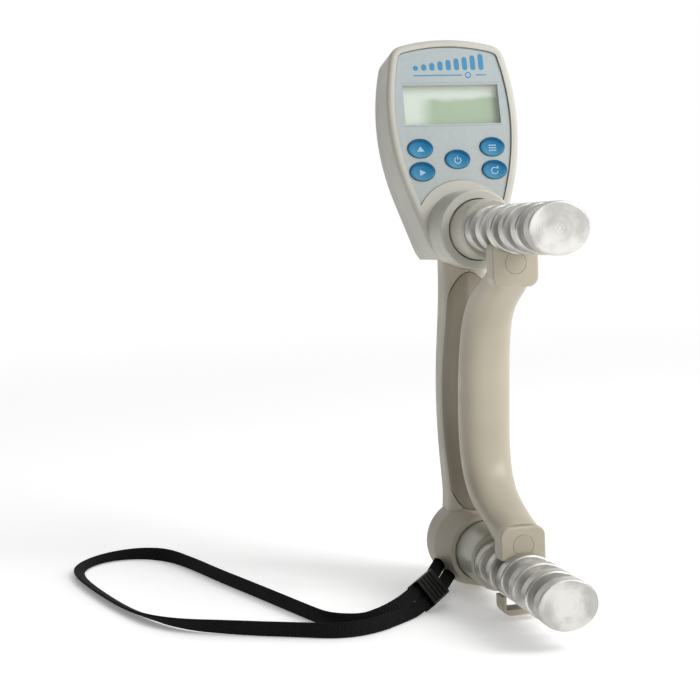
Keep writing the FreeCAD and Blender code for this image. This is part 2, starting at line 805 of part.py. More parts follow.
def key(label, x, up):
    """A dished oval key with a flange that keeps it behind the housing."""
    cap = oval_bar(label + "_cap", "dims.key_half_width", "dims.key_half_height",
                   "dims.key_lift + dims.key_flange_top + 0.2", x, up,
                   "-dims.key_flange_top - 0.2", ALONG_Z)
    edged = rounded(cap, "key_lift / 2", lambda edge: edge.BoundBox.ZMin > 0)
    flange = oval_bar(label + "_flange", "dims.key_half_width + dims.key_flange",
                      "dims.key_half_height + dims.key_flange", "dims.key_flange_thick",
                      x, up, "-dims.key_flange_top - dims.key_flange_thick", ALONG_Z)
    dish = doc.addObject("Part::Sphere", label + "_dish")
    bind(dish, Radius="dims.key_dish")
    place(dish, x, up, "dims.key_lift + dims.key_dish - dims.key_dish_depth")
    keep_in_head(label, cut(fuse(edged, flange), dish))


for key_label, (key_x, key_up) in KEYS.items():
    key(key_label, key_x, key_up)

keep_in_head("keypad_mat", box("mat_block", "2 * dims.key_side + 12", "22", "dims.mat_thick",
                               "-dims.key_side - 6", "19.4",
                               "-dims.mat_top - dims.mat_thick"))
keep_in_head("main_board", box("board_block", "2 * dims.board_half_width",
                               "dims.board_high - dims.board_low", "dims.board_thick",
                               "-dims.board_half_width", "dims.board_low",
                               "-dims.board_top - dims.board_thick"))
keep_in_head("board_chip", box("chip_block", "10", "10", "1.2", "-5", "33",
                               "-dims.board_top - dims.board_thick - 1.2"))

for side, battery_label in ((-1, "battery_left"), (1, "battery_right")):
    can = cylinder(battery_label + "_can", "dims.battery_radius", "dims.battery_length",
                   f"{side} * dims.battery_side", "dims.battery_low", "-dims.battery_depth",
                   ALONG_Y)
    tip_start = ("dims.battery_low + dims.battery_length" if side > 0
                 else "dims.battery_low - 0.9")
    nub = cylinder(battery_label + "_nub", "1.9", "0.9", f"{side} * dims.battery_side",
                   tip_start, "-dims.battery_depth", ALONG_Y)
    keep_in_head(battery_label, fuse(can, nub))

def contact_spring(number, x, start, way):
    """A short coil between a contact plate and the flat end of a cell."""
    rings = []
    for turn in range(4):
        ring = doc.addObject("Part::Torus", f"contact_ring{number}_{turn}")
        ring.Placement = Placement(Vector(), Rotation(ALONG_Z, ALONG_Y))
        bind(ring, Radius1=f"3.2 - {0.35 * turn}", Radius2="0.35")
        place(ring, x, f"{start} + {way * (0.3 + 0.62 * turn)}", "-dims.battery_depth")
        rings.append(ring)
    return fuse(*rings)


contact_low = box("contact_low", "dims.door_width - 3", "dims.contact_thick", "8",
                  "1.5 - dims.door_width / 2", "dims.door_low",
                  "-dims.battery_depth - 4")
contact_high = box("contact_high", "dims.door_width - 3", "dims.contact_thick", "8",
                   "1.5 - dims.door_width / 2",
                   "dims.door_low + dims.door_length - dims.contact_thick",
                   "-dims.battery_depth - 4")
contact_left = contact_spring(0, "-dims.battery_side",
                              "dims.door_low + dims.door_length - dims.contact_thick", -1)
contact_right = contact_spring(1, "dims.battery_side", "dims.door_low + dims.contact_thick", 1)
keep_in_head("battery_contacts", group(contact_low, contact_high, contact_left, contact_right))

door = box("door_block", "dims.door_width - 2 * dims.door_gap",
           "dims.door_length - 2 * dims.door_gap", "dims.door_thick",
           "dims.door_gap - dims.door_width / 2", "dims.door_low + dims.door_gap",
           "-dims.head_depth")
grip_ribs = [box(f"door_rib{n}", "12", "0.9", "0.5", "-6",
                 f"dims.door_low + dims.door_length - {6 + 2.2 * n}",
                 "-dims.head_depth - 0.5") for n in range(4)]
door_edge = rounded(door, "door_thick / 2 - 0.01",
                    lambda edge: edge.Length > 20 and edge.BoundBox.YMax < size("door_low") + 1)
keep_in_head("battery_door", fuse(door_edge, hinge_rod("hinge_pin", "dims.hinge_radius", "0.8"),
                                  *grip_ribs))

# -------------------------------------------------------------------- handle

# Distance from the post tips, height above the lower axis, half width, half thickness.
BOW_STATIONS = [
    (47.0, 117.6, 8.8, 4.8),
    (54.5, 113.9, 8.9, 5.4),
    (65.0, 108.4, 9.2, 6.3),
    (74.2, 101.6, 9.6, 7.1),
    (79.6, 92.6, 10.0, 7.4),
    (82.6, 81.5, 10.3, 7.5),
    (84.4, 68.5, 10.5, 7.5),
    (85.3, 55.0, 10.5, 7.5),
    (84.8, 42.5, 10.3, 7.4),
    (81.0, 32.0, 9.9, 7.1),
    (72.6, 24.2, 9.4, 6.3),
    (60.0, 18.9, 9.0, 5.4),
    (47.0, 15.6, 8.8, 4.6),
]
BOW_SQUARENESS = 2.5


def bow_section(number):
    """One rounded section across the bow."""
    y, z, half, thick = BOW_STATIONS[number]
    before = BOW_STATIONS[max(number - 1, 0)]
    after = BOW_STATIONS[min(number + 1, len(BOW_STATIONS) - 1)]
    along = Vector(0, after[0] - before[0], after[1] - before[1]).normalize()
    across = Vector(0, along.z, -along.y)
    centre = Vector(0, TIP + y, LOW + z)
    points = []
    for step in range(16):
        angle = 2 * math.pi * step / 16
        x = math.copysign(abs(math.cos(angle)) ** (2 / BOW_SQUARENESS), math.cos(angle))
        out = math.copysign(abs(math.sin(angle)) ** (2 / BOW_SQUARENESS), math.sin(angle))
        points.append(centre + ALONG_X * (half * x) + across * (thick * out))
    curve = Part.BSplineCurve()
    curve.interpolate(points, PeriodicFlag=True)
    return Part.Wire([curve.toShape()])


def handle_plate(name, low, high):
    """A flat end of the handle that fills one groove of a post."""
    plate = box(name, "2 * dims.handle_half_width", "dims.handle_back - dims.handle_front",
                f"({high}) - ({low})", "-dims.handle_half_width",
                from_tip("dims.handle_front"), f"dims.axis_low + ({low})")
    corners = rounded(plate, "plate_round", lambda edge: edge.Length < 8 and edge.Length > 7)
    return rounded(corners, "plate_edge",
                   lambda edge: edge.BoundBox.YMax < TIP + size("handle_front") + 0.01)


bow = plain("bow", Part.makeLoft([bow_section(n) for n in range(len(BOW_STATIONS))], True, False))
seat_plate = handle_plate("seat_plate", "dims.handle_seat_low", "dims.handle_top")
hook_plate = handle_plate("hook_plate", "dims.handle_hook_low", "dims.handle_hook_high")
seat = cylinder("seat", "dims.post_core + dims.running_gap", "20", "0", from_tip("40"),
                UPPER_AXIS, ALONG_Y)
seat_mouth = box("seat_mouth", "2 * (dims.post_core + dims.running_gap)", "20", "20",
                 "-dims.post_core - dims.running_gap", from_tip("40"), UPPER_AXIS)
hook_room = box("hook_room", "2 * (dims.handle_half_width - dims.hook_wall)", "14",
                "dims.post_core + dims.hook_play - dims.handle_hook_low - dims.hook_band",
                "dims.hook_wall - dims.handle_half_width", from_tip("40"),
                "dims.axis_low + dims.handle_hook_low + dims.hook_band")
hook_mouth = box("hook_mouth", "12", "14", "dims.post_core + dims.hook_play - dims.hook_lip",
                 "-dims.handle_half_width - 2", from_tip("40"),
                 "dims.axis_low + dims.hook_lip")
cap_seats = [cylinder(f"cap_seat{n}", "dims.cap_radius + dims.cap_gap", "dims.cap_depth + 5",
                      "0", from_tip("dims.handle_front - 5"), f"dims.axis_low + dims.{z}", ALONG_Y)
             for n, z in enumerate(("upper_cap_z", "lower_cap_z"))]
keep("handle", cut(fuse(seat_plate, bow, hook_plate), seat, seat_mouth, hook_room, hook_mouth,
                   *cap_seats))


def handle_cap(label, height):
    """A round plug that closes a moulding hole in a handle end."""
    disc = cylinder(label + "_disc", "dims.cap_radius", "dims.cap_depth", "0",
                    from_tip("dims.handle_front"), f"dims.axis_low + dims.{height}", ALONG_Y)
    keep(label, rounded(disc, "cap_gap", lambda edge: edge.BoundBox.YMax < TIP + size("handle_front") + 0.01))


handle_cap("handle_upper_cap", "upper_cap_z")
handle_cap("handle_lower_cap", "lower_cap_z")

# --------------------------------------------------------------- wrist strap


def routed(name, points, radius):
    """A tube along straight runs that are joined by tangent arcs."""
    edges = []
    radii = []
    start = points[0]
    for before, here, after in zip(points, points[1:], points[2:]):
        inward = (here - before).normalize()
        outward = (after - here).normalize()
        turn = inward.getAngle(outward)
        run = min((here - before).Length, (after - here).Length)
        reach = 0.45 * run
        bend = reach / math.tan(turn / 2)
        radii.append(round(bend, 1))
        first = here - inward * reach
        last = here + outward * reach
        middle_way = (outward - inward).normalize()
        inset = bend / math.cos(turn / 2) - bend
        edges.append(Part.makeLine(start, first))
        edges.append(Part.Arc(first, here + middle_way * inset, last).toShape())
        start = last
    edges.append(Part.makeLine(start, points[-1]))
    path = Part.Wire(edges)
    heading = (points[1] - points[0]).normalize()
    ring = Part.Wire([Part.makeCircle(radius, points[0], heading)])
    tube = path.makePipeShell([ring], True, True)
    expected = math.pi * radius ** 2 * path.Length
    print(name, "length", round(path.Length, 1), "volume ratio", round(tube.Volume / expected, 4))
    print(name, "radii", radii)
    return plain(name, tube)


SLIDER_AT = (-29.3, 75.2, -10.3)
SLIDER_ALONG = Vector(0.66, 0.742, 0.12)
SLIDER_ACROSS = Vector(0.55, -0.32, -0.77)


def slider():
    """A ribbed sleeve that gathers the two strands of the strap."""
    block = box("slider_block", "dims.slider_length", "dims.slider_width", "dims.slider_height",
                "-dims.slider_length / 2", "-dims.slider_width / 2", "-dims.slider_height / 2")
    block_round = rounded(block, "dims.slider_round",
                          lambda edge: edge.BoundBox.XLength > size("slider_length") - 0.1)
    tunnel = box("slider_tunnel", "dims.slider_length + 2",
                 "dims.slider_width - 2 * dims.slider_wall",
                 "dims.slider_height - 2 * dims.slider_wall", "-dims.slider_length / 2 - 1",
                 "dims.slider_wall - dims.slider_width / 2",
                 "dims.slider_wall - dims.slider_height / 2")
    ribs = []
    for number in range(4):
        start = f"{2.7 * number - 4.85}"
        rib = box(f"slider_rib{number}", "1.6", "dims.slider_width - 1.2", "0.8", start,
                  "0.6 - dims.slider_width / 2", "-dims.slider_height / 2 - 0.5")
        ribs.append(rib)
    body = group(cut(fuse(block_round, *ribs), tunnel))
    body.Placement = Placement(in_row(SLIDER_AT),
                               Rotation(SLIDER_ALONG, SLIDER_ACROSS, Vector(), "XYZ"))
    keep("strap_slider", body)


slider()
keep("strap_pin", strap_anchor("pin_rod", 1.0))
keep("wrist_strap", routed("strap_tube", [in_row(p) for p in STRAP_ROUTE], size("strap_width") / 2))

doc.recompute()

# ------------------------------------------------------------- check and write

failed = [obj.Name for obj in doc.Objects if "Invalid" in obj.State or "Error" in obj.State]
if failed:
    raise SystemExit("objects not computed: " + ", ".join(failed))
for label, obj in NODES.items():
    if obj.Shape.isNull() or not obj.Shape.isValid() or not obj.Shape.Solids:
        raise SystemExit(f"{label} has no valid solid")
for label, obj in NODES.items():
    obj.Shape.exportStep(f"parts/{label}.step")

whole = Part.makeCompound([obj.Shape for label, obj in NODES.items() if "strap" not in label])
span = whole.BoundBox
print(len(NODES), "sub-parts")
print("box", [round(v, 3) for v in (span.XMin, span.YMin, span.ZMin, span.XMax, span.YMax, span.ZMax)])
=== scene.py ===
import math

import bmesh
import bpy
from mathutils import Matrix, Vector


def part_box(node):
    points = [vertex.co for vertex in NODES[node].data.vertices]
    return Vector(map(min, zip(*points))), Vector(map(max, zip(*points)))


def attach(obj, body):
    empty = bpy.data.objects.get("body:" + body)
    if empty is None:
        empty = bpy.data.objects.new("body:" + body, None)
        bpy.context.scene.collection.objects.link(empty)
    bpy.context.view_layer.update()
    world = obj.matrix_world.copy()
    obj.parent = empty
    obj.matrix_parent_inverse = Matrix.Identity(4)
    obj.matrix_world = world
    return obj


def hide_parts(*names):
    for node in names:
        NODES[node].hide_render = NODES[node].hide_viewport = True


# Looks of a hand dynamometer, in metres.  +X is the reader's right, +Y runs from
# the post tips to the back of the head, +Z is up and the floor is Z = 0.

MM = 0.001

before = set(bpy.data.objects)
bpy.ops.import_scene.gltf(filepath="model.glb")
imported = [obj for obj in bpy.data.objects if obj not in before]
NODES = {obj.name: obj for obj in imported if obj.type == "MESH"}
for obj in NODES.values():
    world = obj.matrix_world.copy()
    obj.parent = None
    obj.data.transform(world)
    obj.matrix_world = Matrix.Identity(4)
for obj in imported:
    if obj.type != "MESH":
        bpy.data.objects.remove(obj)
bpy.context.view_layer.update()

# Places of the main features, as the model has them.
TIP_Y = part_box("upper_post")[0].y
FACE_BACK = 102.4 * MM
FACE_TILT = math.radians(12.15)
POST_LOW = (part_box("lower_post")[0].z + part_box("lower_post")[1].z) / 2
POST_HIGH = (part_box("upper_post")[0].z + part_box("upper_post")[1].z) / 2
FACE_ORIGIN = Vector((0, TIP_Y + FACE_BACK, POST_HIGH))
FACE = Matrix.Translation(FACE_ORIGIN) @ Matrix.Rotation(math.pi / 2 - FACE_TILT, 4, "X")
FACE_UP = FACE.to_3x3() @ Vector((0, 1, 0))

# ---------------------------------------------------------------- camera


# Heading to the right of +Y, pitch and roll in degrees; lens in mm on a 36 mm sensor.
CAMERA_ANGLES = (13.74, -5.214, -2.228)
CAMERA_LENS = 70.44
CAMERA_PLACE = (-0.18504, TIP_Y - 0.44440, 0.15528)


def add_camera():
    """The viewing place: in front, to the left and a little above the middle."""
    heading, pitch, roll = (math.radians(angle) for angle in CAMERA_ANGLES)
    data = bpy.data.cameras.new("camera")
    data.sensor_fit = "HORIZONTAL"
    data.sensor_width = 36
    data.lens = CAMERA_LENS
    data.clip_start = 0.01
    camera = bpy.data.objects.new("camera", data)
    bpy.context.scene.collection.objects.link(camera)
    turn = (Matrix.Rotation(-heading, 4, "Z") @ Matrix.Rotation(math.pi / 2 + pitch, 4, "X")
            @ Matrix.Rotation(roll, 4, "Z"))
    camera.matrix_world = Matrix.Translation(CAMERA_PLACE) @ turn
    bpy.context.scene.camera = camera


add_camera()

# ------------------------------------------------------------ wrist strap

# Route of the strap: across, distance behind the post tips, height above the lower
# post's axis, in millimetres.
STRAP_ROUTE = [
    (-10.7, 115.0, -7.8),
    (-24.3, 83.5, -6.9),
    (-37.5, 68.7, -9.3),
    (-46.5, 60.8, -11.4),
    (-56.5, 56.5, -13.7),
    (-66.3, 57.6, -14.9),
    (-74.1, 64.2, -14.9),
    (-78.3, 75.5, -14.9),
    (-87.0, 101.0, -14.9),
    (-95.0, 124.0, -14.9),
    (-103.6, 148.0, -14.9),
    (-111.5, 173.0, -14.9),
    (-120.3, 194.8, -14.9),
    (-133.5, 206.5, -14.9),
    (-149.0, 207.5, -14.9),
    (-160.5, 197.5, -14.9),
    (-164.3, 180.0, -14.9),
    (-156.3, 144.0, -14.9),
    (-145.0, 107.0, -14.9),
    (-130.5, 79.5, -14.9),
    (-108.5, 65.3, -14.9),
    (-88.0, 54.8, -14.9),
    (-71.5, 46.8, -14.9),
    (-57.5, 49.5, -14.9),
    (-45.5, 59.0, -14.9),
    (-34.3, 66.9, -13.7),
    (-21.1, 81.7, -11.3),
    (-6.5, 112.5, -11.7),
]
STRAP_WIDTH = 5.6 * MM
STRAP_THICK = 1.5 * MM
# Share of the way along the strap, and its width there, in millimetres: the slider
# gathers it.
STRAP_WIDTHS = [(0.0, 5.9), (0.04, 5.9), (0.07, 5.4), (0.09, 5.4), (0.15, 6.1), (0.40, 6.1),
                (0.52, 5.2), (0.62, 5.2), (0.74, 6.1), (0.84, 6.1), (0.91, 5.4), (0.93, 5.4),
                (0.96, 5.9), (1.0, 5.9)]
# Share of the way along the strap, and how flat it lies there, 0 on edge, 1 flat.
STRAP_LEAN = [(0.0, 0.5), (0.10, 0.5), (0.17, 0.0), (0.38, 0.0), (0.50, 0.85), (0.64, 0.85),
              (0.78, 0.1), (0.83, 0.0), (0.90, -0.5), (1.0, -0.5)]
# Angle from upright at a lean of 1, which is nearly flat on the floor.
FLAT_ANGLE = math.radians(78)
# Grooves that set the rolled edges off: depth as a share of half the thickness, then
# distance from the middle and width as shares of half the strap's width.
GROOVE_DEPTH = 0.22
GROOVE_PLACE = 0.72
GROOVE_WIDTH = 0.09
# Powers that square the section off from an ellipse, across its width and its thickness.
WIDTH_POWER = 0.55
THICK_POWER = 0.8
RIM_STEPS = 18
# Heights above the lower post's axis, in millimetres, between which the strap settles on
# the floor, and the gap that it keeps there.
SETTLE_START = -13.6
SETTLE_END = -14.8
FLOOR_GAP = 0.1 * MM


def route_point(point):
    """A route point in the frame, in metres."""
    across, back, height = point
    return Vector((across * MM, TIP_Y + back * MM, POST_LOW + height * MM))


def smooth_route(points):
    """Points along the NURBS spline whose control points are the route."""
    data = bpy.data.curves.new("strap_route", "CURVE")
    data.dimensions = "3D"
    data.resolution_u = 10
    spline = data.splines.new("NURBS")
    spline.points.add(len(points) - 1)
    for control, point in zip(spline.points, points):
        control.co = (*point, 1)
    spline.order_u = 3
    spline.use_endpoint_u = True
    holder = bpy.data.objects.new("strap_route", data)
    bpy.context.scene.collection.objects.link(holder)
    bpy.context.view_layer.update()
    mesh = bpy.data.meshes.new_from_object(holder)
    line = [v.co.copy() for v in mesh.vertices]
    bpy.data.objects.remove(holder)
    bpy.data.meshes.remove(mesh)
    return line


def interpolate(table, at):
    """A smooth value from a list of (place, value) pairs."""
    for (x0, y0), (x1, y1) in zip(table, table[1:]):
        if at <= x1:
            share = (at - x0) / (x1 - x0)
            return y0 + (y1 - y0) * share * share * (3 - 2 * share)
    return table[-1][1]


def distances(line):
    """The length along a line at each of its points."""
    total = [0.0]
    for here, there in zip(line, line[1:]):
        total.append(total[-1] + (there - here).length)
    return total


def band_frames(line):
    """Where the strap is along its line, and its width and thickness as vectors."""
    along = distances(line)
    up = Vector((0, 0, 1))
    for number, (point, length) in enumerate(zip(line, along)):
        ahead = line[min(number + 1, len(line) - 1)] - line[max(number - 1, 0)]
        ahead.normalize()
        side = ahead.cross(up).normalized()
        upright = side.cross(ahead).normalized()
        share = length / along[-1]
        lean = interpolate(STRAP_LEAN, share) * FLAT_ANGLE
        half = interpolate(STRAP_WIDTHS, share) * MM / 2
        width = (upright * math.cos(lean) + side * math.sin(lean)) * half
        thick = (side * math.cos(lean) - upright * math.sin(lean)) * STRAP_THICK / 2
        centre = point.copy()
        floor_height = abs(width.z) + abs(thick.z) + FLOOR_GAP
        drop = (POST_LOW - point.z) / MM
        settled = min(max((drop + SETTLE_START) / (SETTLE_START - SETTLE_END), 0), 1)
        centre.z += (floor_height - centre.z) * settled
        yield centre, width, thick, length


def strap_line():
    """The middle of the strap, lying on the floor where it lies flat."""
    return [centre for centre, _, _, _ in
            band_frames(smooth_route([route_point(p) for p in STRAP_ROUTE]))]


def make_strap():
    """A flat woven band with rolled edges, swept along its route."""
    line = smooth_route([route_point(p) for p in STRAP_ROUTE])
    rim = []
    for step in range(RIM_STEPS):
        angle = 2 * math.pi * step / RIM_STEPS
        across = math.copysign(abs(math.cos(angle)) ** WIDTH_POWER, math.cos(angle))
        out = math.copysign(abs(math.sin(angle)) ** THICK_POWER, math.sin(angle))
        from_groove = (abs(across) - GROOVE_PLACE) / GROOVE_WIDTH
        waist = 1.0 - GROOVE_DEPTH * math.exp(-from_groove ** 2)
        rim.append((across, out * waist))
    mesh = bpy.data.meshes.new("strap")
    work = bmesh.new()
    layer = work.loops.layers.uv.new("along")
    rings = []
    lengths = []
    for centre, width, thick, length in band_frames(line):
        rings.append([work.verts.new(centre + width * w + thick * t) for w, t in rim])
        lengths.append(length)
    for here, there, low, high in zip(rings, rings[1:], lengths, lengths[1:]):
        for n in range(RIM_STEPS):
            after = (n + 1) % RIM_STEPS
            face = work.faces.new((here[n], here[after], there[after], there[n]))
            face.smooth = True
            corners = ((n, low), (n + 1, low), (n + 1, high), (n, high))
            for loop, (turn, length) in zip(face.loops, corners):
                loop[layer].uv = (turn / RIM_STEPS, length / STRAP_WIDTH)
    work.faces.new(list(reversed(rings[0])))
    work.faces.new(rings[-1])
    work.to_mesh(mesh)
    work.free()
    strap = bpy.data.objects.new("strap_band", mesh)
    bpy.context.scene.collection.objects.link(strap)
    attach(strap, "frame")
    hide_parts("wrist_strap")
    path = strap_line()
    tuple(path[0])
    distances(path)[-1]
    return strap


strap_band = make_strap()

# -------------------------------------------------------------- materials


def srgb(red, painted_shade_share, blue):
    """A linear colour from screen values of 0 to 255."""
    def linear(value):
        value /= 255
        return value / 12.92 if value <= 0.04045 else ((value + 0.055) / 1.055) ** 2.4
    return (linear(red), linear(painted_shade_share), linear(blue), 1.0)


class Shader:
    """A material with a few short ways to add and join its nodes."""

    def __init__(self, name):
        self.material = bpy.data.materials.new(name)
        self.material.use_nodes = True
        self.tree = self.material.node_tree
        self.main = self.tree.nodes["Principled BSDF"]
        self.place = self.node("ShaderNodeTexCoord").outputs["Object"]

    def node(self, kind, **settings):
        made = self.tree.nodes.new(kind)
        for key, value in settings.items():
            setattr(made, key, value)
        return made

    def join(self, source, target):
        self.tree.links.new(source, target)

    def value(self, operation, *inputs, clamp=False):
        """A maths node of its inputs, which are numbers or sockets."""
        made = self.node("ShaderNodeMath", operation=operation, use_clamp=clamp)
        self.feed(made.inputs, inputs)
        return made.outputs[0]

    def vector(self, operation, *inputs):
        made = self.node("ShaderNodeVectorMath", operation=operation)
        self.feed(made.inputs, inputs)
        return made.outputs["Value" if operation in ("DOT_PRODUCT", "LENGTH") else "Vector"]

    def feed(self, sockets, inputs):
        for socket, given in zip(sockets, inputs):
            if isinstance(given, bpy.types.NodeSocket):
                self.join(given, socket)
            else:
                socket.default_value = given

    def noise(self, scale, detail=3.0, roughness=0.5, place=None):
        made = self.node("ShaderNodeTexNoise")
        made.inputs["Scale"].default_value = scale
        made.inputs["Detail"].default_value = detail
        made.inputs["Roughness"].default_value = roughness
        self.join(place or self.place, made.inputs["Vector"])
        return made.outputs["Fac"]

    def spread(self, socket, low, high, to_low, to_high):
        """Maps a value from one range to another, smoothly and held at its ends."""
        made = self.node("ShaderNodeMapRange", interpolation_type="SMOOTHSTEP")
        self.feed(made.inputs, (socket, low, high, to_low, to_high))
        return made.outputs["Result"]

    def mix(self, share, first, second):
        """A blend of two colours."""
        made = self.node("ShaderNodeMix", data_type="RGBA")
        self.feed((made.inputs["Factor"], made.inputs[6], made.inputs[7]),
                  (share, first, second))
        return made.outputs[2]

    def bump(self, height, strength, distance):
        made = self.node("ShaderNodeBump")
        made.inputs["Strength"].default_value = strength
        made.inputs["Distance"].default_value = distance
        self.join(height, made.inputs["Height"])
        self.join(made.outputs["Normal"], self.main.inputs["Normal"])

    def set(self, **inputs):
        """Sets or joins inputs of the surface, with _ for a space in a name."""
        for key, given in inputs.items():
            socket = self.main.inputs[key.replace("_", " ")]
            if isinstance(given, bpy.types.NodeSocket):
                self.join(given, socket)
            else:
                socket.default_value = given


def plastic(name, colour, roughness, grain=0.00006, grain_scale=2600, coat=0.0):
    """Moulded plastic: slight uneven colour, and the fine grain of its mould."""
    shader = Shader(name)
    cloud = shader.noise(38, 4)
    dark = tuple(0.93 * c for c in colour[:3]) + (1.0,)
    shader.set(Base_Color=shader.mix(shader.spread(cloud, 0.3, 0.7, 0, 1), dark, colour),
               Roughness=shader.spread(shader.noise(160, 3), 0.3, 0.7,
                                       roughness - 0.05, roughness + 0.06),
               Coat_Weight=coat, Coat_Roughness=0.25)
    shader.bump(shader.noise(grain_scale, 2), 0.35, grain)
    return shader.material


def turned_metal(name, colour, roughness, axis_height, ring_scale):
    """Turned metal with tool marks round an axis that runs along Y."""
    shader = Shader(name)
    parts = shader.node("ShaderNodeSeparateXYZ")
    shader.join(shader.place, parts.inputs[0])
    across, along, height = parts.outputs
    above = shader.value("SUBTRACT", height, axis_height)
    radius = shader.value("SQRT", shader.value("ADD", shader.value("POWER", across, 2.0),
                                               shader.value("POWER", above, 2.0)))
    marks = shader.node("ShaderNodeCombineXYZ")
    shader.feed(marks.inputs, (radius, along, 0.0))
    fine = shader.noise(ring_scale, 3, 0.6, marks.outputs[0])
    wide = shader.noise(ring_scale / 16, 2, 0.5, marks.outputs[0])
    cloud = shader.noise(90, 3)
    tone = shader.value("ADD", shader.value("MULTIPLY", fine, 0.35),
                        shader.value("MULTIPLY", cloud, 0.65))
    dark = tuple(0.66 * c for c in colour[:3]) + (1.0,)
    shader.set(Base_Color=shader.mix(shader.spread(tone, 0.40, 0.60, 0, 1), dark, colour),
               Metallic=1.0,
               Roughness=shader.spread(wide, 0.3, 0.7, roughness - 0.06, roughness + 0.10))
    shader.bump(fine, 0.12, 0.00003)
    return shader.material


def face_places(shader):
    """Across and up the display face, in millimetres, for a shader."""
    moved = shader.vector("SUBTRACT", shader.place, tuple(FACE_ORIGIN))
    across = shader.value("MULTIPLY", shader.vector("DOT_PRODUCT", moved, (1, 0, 0)), 1000.0)
    up = shader.value("MULTIPLY", shader.vector("DOT_PRODUCT", moved, tuple(FACE_UP)), 1000.0)
    return across, up


def overlay_material():
    """The printed overlay: pale blue-grey, a little bluer towards the top."""
    shader = Shader("overlay_print")
    _, up = face_places(shader)
    rise = shader.spread(up, 5.0, 78.0, 0, 1)
    base = shader.mix(rise, srgb(168, 175, 172), srgb(162, 173, 174))
    speck = shader.spread(shader.noise(420, 3), 0.35, 0.65, 0, 0.10)
    shader.set(Base_Color=shader.mix(speck, base, srgb(196, 204, 204)), Roughness=0.36,
               Coat_Weight=0.15, Coat_Roughness=0.2)
    shader.bump(shader.noise(3200, 2), 0.2, 0.00003)
    return shader.material


def display_material():
    """The unlit display, pale at the top and left with a painted reflection, greener at the lower
    right with painted shade.
    """
    shader = Shader("display_glass")
    across, up = face_places(shader)
    wander = shader.value("MULTIPLY", shader.value("SUBTRACT", shader.noise(60, 2), 0.5), 5.0)
    from_left = shader.spread(shader.value("ADD", across, wander), -14.5, -6.5, 0, 1)
    from_top = shader.spread(shader.value("ADD", up, wander), 59.0, 56.2, 0, 1)
    # Painted light mask: 0 where the painted reflection leaves the display pale, 1 at the painted
    # shade of the lower right.
    painted_shade_share = shader.value("MULTIPLY", from_left, from_top)
    rows = shader.spread(shader.noise(900, 2), 0.4, 0.6, 0, 0.06)
    # The pale colour is the painted reflection and the grey-green one the painted shade.
    base = shader.mix(painted_shade_share, srgb(206, 216, 204), srgb(144, 169, 130))
    shader.set(Base_Color=shader.mix(rows, base, srgb(140, 160, 130)), Roughness=0.3)
    shader.bump(shader.noise(1500, 2), 0.1, 0.00002)
    return shader.material


# The oval that bounds the painted shadow crescent on a key from below, in millimetres: how far its
# middle is left of and below the key's, and its half width and half height.
SHADOW_CRESCENT_LEFT = 0.4
SHADOW_CRESCENT_DOWN = 1.35
SHADOW_CRESCENT_HALF_WIDTH = 5.5
SHADOW_CRESCENT_HALF_HEIGHT = 4.0


def key_material(name, middle_x, middle_up):
    """A blue key with painted shade: a deep blue shadow crescent along its upper edge, darker blue
    above.
    """
    shader = Shader(name)
    across, up = face_places(shader)
    wide = shader.value("DIVIDE", shader.value("SUBTRACT", across, middle_x - SHADOW_CRESCENT_LEFT),
                        SHADOW_CRESCENT_HALF_WIDTH)
    high = shader.value("DIVIDE", shader.value("SUBTRACT", up, middle_up - SHADOW_CRESCENT_DOWN),
                        SHADOW_CRESCENT_HALF_HEIGHT)
    reach = shader.value("ADD", shader.value("POWER", wide, 2.0), shader.value("POWER", high, 2.0))
    # Painted shadow: a deep blue crescent along the upper edge of the key.
    painted_shadow = shader.spread(reach, 0.86, 1.0, 0, 1)
    upper = shader.spread(high, 0.0, 0.35, 0, 1)
    # Painted shade: the blue is lighter towards the bottom of the key and darker towards its top.
    painted_dish_shade = shader.mix(shader.spread(high, -0.9, 0.7, 0, 1), srgb(66, 134, 166),
                          srgb(28, 112, 154))
    shader.set(Base_Color=shader.mix(shader.value("MULTIPLY", painted_shadow, upper), painted_dish_shade,
                                     srgb(0, 84, 124)),
               Specular_IOR_Level=0.2,
               Roughness=shader.spread(shader.noise(300, 3), 0.3, 0.7, 0.40, 0.52))
    shader.bump(shader.noise(2600, 2), 0.25, 0.00004)
    return shader.material


# Threads round the strap, and rows of them in a length as long as the strap is wide.
THREADS_AROUND = 24
ROWS_OF_THREADS = 9.0


def weave_material(name, colour, light):
    """Black webbing: rows of small raised threads in a twill."""
    shader = Shader(name)
    uv = shader.node("ShaderNodeTexCoord").outputs["UV"]
    parts = shader.node("ShaderNodeSeparateXYZ")
    shader.join(uv, parts.inputs[0])
    around = shader.value("MULTIPLY", parts.outputs[0], THREADS_AROUND * math.tau)
    along = shader.value("MULTIPLY", parts.outputs[1], ROWS_OF_THREADS * math.tau)
    warp = shader.value("SINE", shader.value("ADD", around, shader.value("MULTIPLY", along, 0.5)))
    weft = shader.value("SINE", along)
    height = shader.value("MULTIPLY", shader.value("ADD", warp, weft), 0.25)
    fuzz = shader.noise(2400, 3)
    # Paler where the threads are raised.
    on_raised_threads = shader.spread(shader.value("ADD", height, fuzz), 0.3, 1.0, 0, 1)
    shader.set(Base_Color=shader.mix(on_raised_threads, colour, light), Roughness=0.9,
               Specular_IOR_Level=0.1, Sheen_Weight=0.02, Sheen_Roughness=0.5)
    shader.bump(height, 0.5, 0.00022)
    return shader.material


def glass_material():
    """The clear pane over the display."""
    shader = Shader("display_pane")
    shader.set(Base_Color=(0.93, 0.96, 0.94, 1), Alpha=0.10, IOR=1.49,
               Roughness=shader.spread(shader.noise(200, 2), 0.3, 0.7, 0.04, 0.09))
    shader.material.blend_method = "BLEND"
    return shader.material


